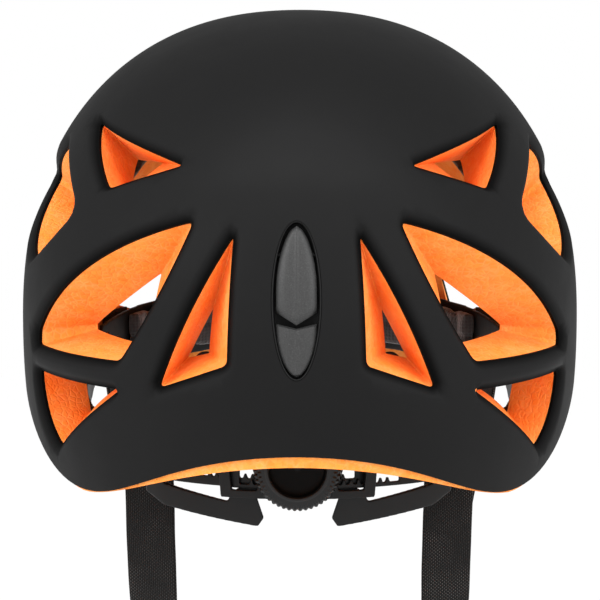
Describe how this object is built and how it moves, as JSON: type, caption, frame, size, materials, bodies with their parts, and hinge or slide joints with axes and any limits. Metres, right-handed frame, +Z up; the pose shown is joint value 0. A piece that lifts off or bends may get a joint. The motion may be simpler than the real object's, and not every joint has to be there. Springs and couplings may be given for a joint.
{
  "type": "climbing helmet",
  "caption": "Vented climbing helmet with a moulded shell on a foam liner, head ring with nape dial, webbing harness with chin buckle and lamp clips.",
  "frame": {"origin": "centre of the head cavity, level with the helmet's widest section", "axes": "+Z up, +Y to the brow, +X to the wearer's right"},
  "size_m": [0.214, 0.274, 0.3535],
  "materials": {
    "shell": "fine matte texture",
    "foam": "moulded bead foam",
    "pad_fabric": "knitted mesh",
    "webbing": "woven",
    "keeper_rubber": "matte",
    "clip_grey": "fine matte",
    "clip_black": "matte",
    "steel": "blackened",
    "buckle_plastic": "satin",
    "knob_plastic": "satin",
    "harness_plastic": "satin"
  },
  "bodies": {
    "helmet": {"outer_shell": "shell", "foam_liner": "foam", "crown_pads": "pad_fabric", "strap_anchors": "harness_plastic", "temple_pin_left": "harness_plastic", "temple_pin_right": "harness_plastic", "rear_clip_base": "clip_black", "rear_clip_tongue": "clip_grey", "rear_clip_pin": "steel", "front_left_clip_base": "clip_black", "front_left_clip_tongue": "clip_grey", "front_left_clip_pin": "steel", "front_right_clip_base": "clip_black", "front_right_clip_tongue": "clip_grey", "front_right_clip_pin": "steel", "rear_strap_left": "webbing", "rear_strap_right": "webbing", "front_strap_left": "webbing", "front_strap_right": "webbing", "chin_strap_left": "webbing", "chin_strap_right": "webbing", "divider_left": "buckle_plastic", "divider_right": "buckle_plastic", "buckle_socket": "buckle_plastic", "chin_strap_tail": "webbing", "strap_keeper": "keeper_rubber"},
    "head_ring": {"headband": "harness_plastic", "brow_pad": "pad_fabric", "dial_housing": "harness_plastic", "nape_frame": "harness_plastic", "nape_pad": "pad_fabric", "housing_screws": "steel"},
    "dial": {"dial_knob": "knob_plastic", "dial_pinion": "harness_plastic", "dial_screw": "steel"},
    "left_band": {"rack_band_left": "harness_plastic"},
    "right_band": {"rack_band_right": "harness_plastic"},
    "rear_flap": {"rear_clip_flap": "clip_grey"},
    "front_left_flap": {"front_left_clip_flap": "clip_grey"},
    "front_right_flap": {"front_right_clip_flap": "clip_grey"},
    "buckle_release": {"buckle_plug": "buckle_plastic"}
  },
  "joints": [
    {"name": "ring_tilt", "type": "hinge", "parent": "helmet", "child": "head_ring", "pos_m": [0, 0.0255, -0.014], "axis": [1, 0, 0], "range_deg": [-3, 3]},
    {"name": "dial_turn", "type": "hinge", "parent": "head_ring", "child": "dial", "pos_m": [0, -0.09, -0.04], "axis": [0, -1, 0], "range_deg": [-120, 120]},
    {"name": "left_band_slide", "type": "hinge", "parent": "head_ring", "child": "left_band", "pos_m": [0, -0.008, -0.04], "axis": [0, 0, 1], "range_deg": [-7.8, 7.8]},
    {"name": "right_band_slide", "type": "hinge", "parent": "head_ring", "child": "right_band", "pos_m": [0, -0.008, -0.04], "axis": [0, 0, 1], "range_deg": [-8, 8]},
    {"name": "rear_clip_open", "type": "hinge", "parent": "helmet", "child": "rear_flap", "pos_m": [0, -0.12162, 0.03978], "axis": [-1, 0, 0], "range_deg": [0, 12], "stiffness_Nm_per_rad": 0.02, "springref_deg": -11.46},
    {"name": "front_left_clip_open", "type": "hinge", "parent": "helmet", "child": "front_left_flap", "pos_m": [-0.03866, 0.12932, -0.00657], "axis": [0.8748, 0.4844, 0], "range_deg": [0, 12], "stiffness_Nm_per_rad": 0.02, "springref_deg": -11.46},
    {"name": "front_right_clip_open", "type": "hinge", "parent": "helmet", "child": "front_right_flap", "pos_m": [0.03866, 0.12932, -0.00657], "axis": [0.8748, -0.4844, 0], "range_deg": [0, 12], "stiffness_Nm_per_rad": 0.02, "springref_deg": -11.46},
    {"name": "buckle_part", "type": "slide", "parent": "helmet", "child": "buckle_release", "axis": [-1, 0, 0], "range_m": [0, 0.022], "deforming": ["chin_strap_left"]}
  ],
  "couplings": [
    {"joint": "dial_turn", "follows": "left_band_slide", "ratio": 15.238},
    {"joint": "right_band_slide", "follows": "left_band_slide", "ratio": -1}
  ]
}
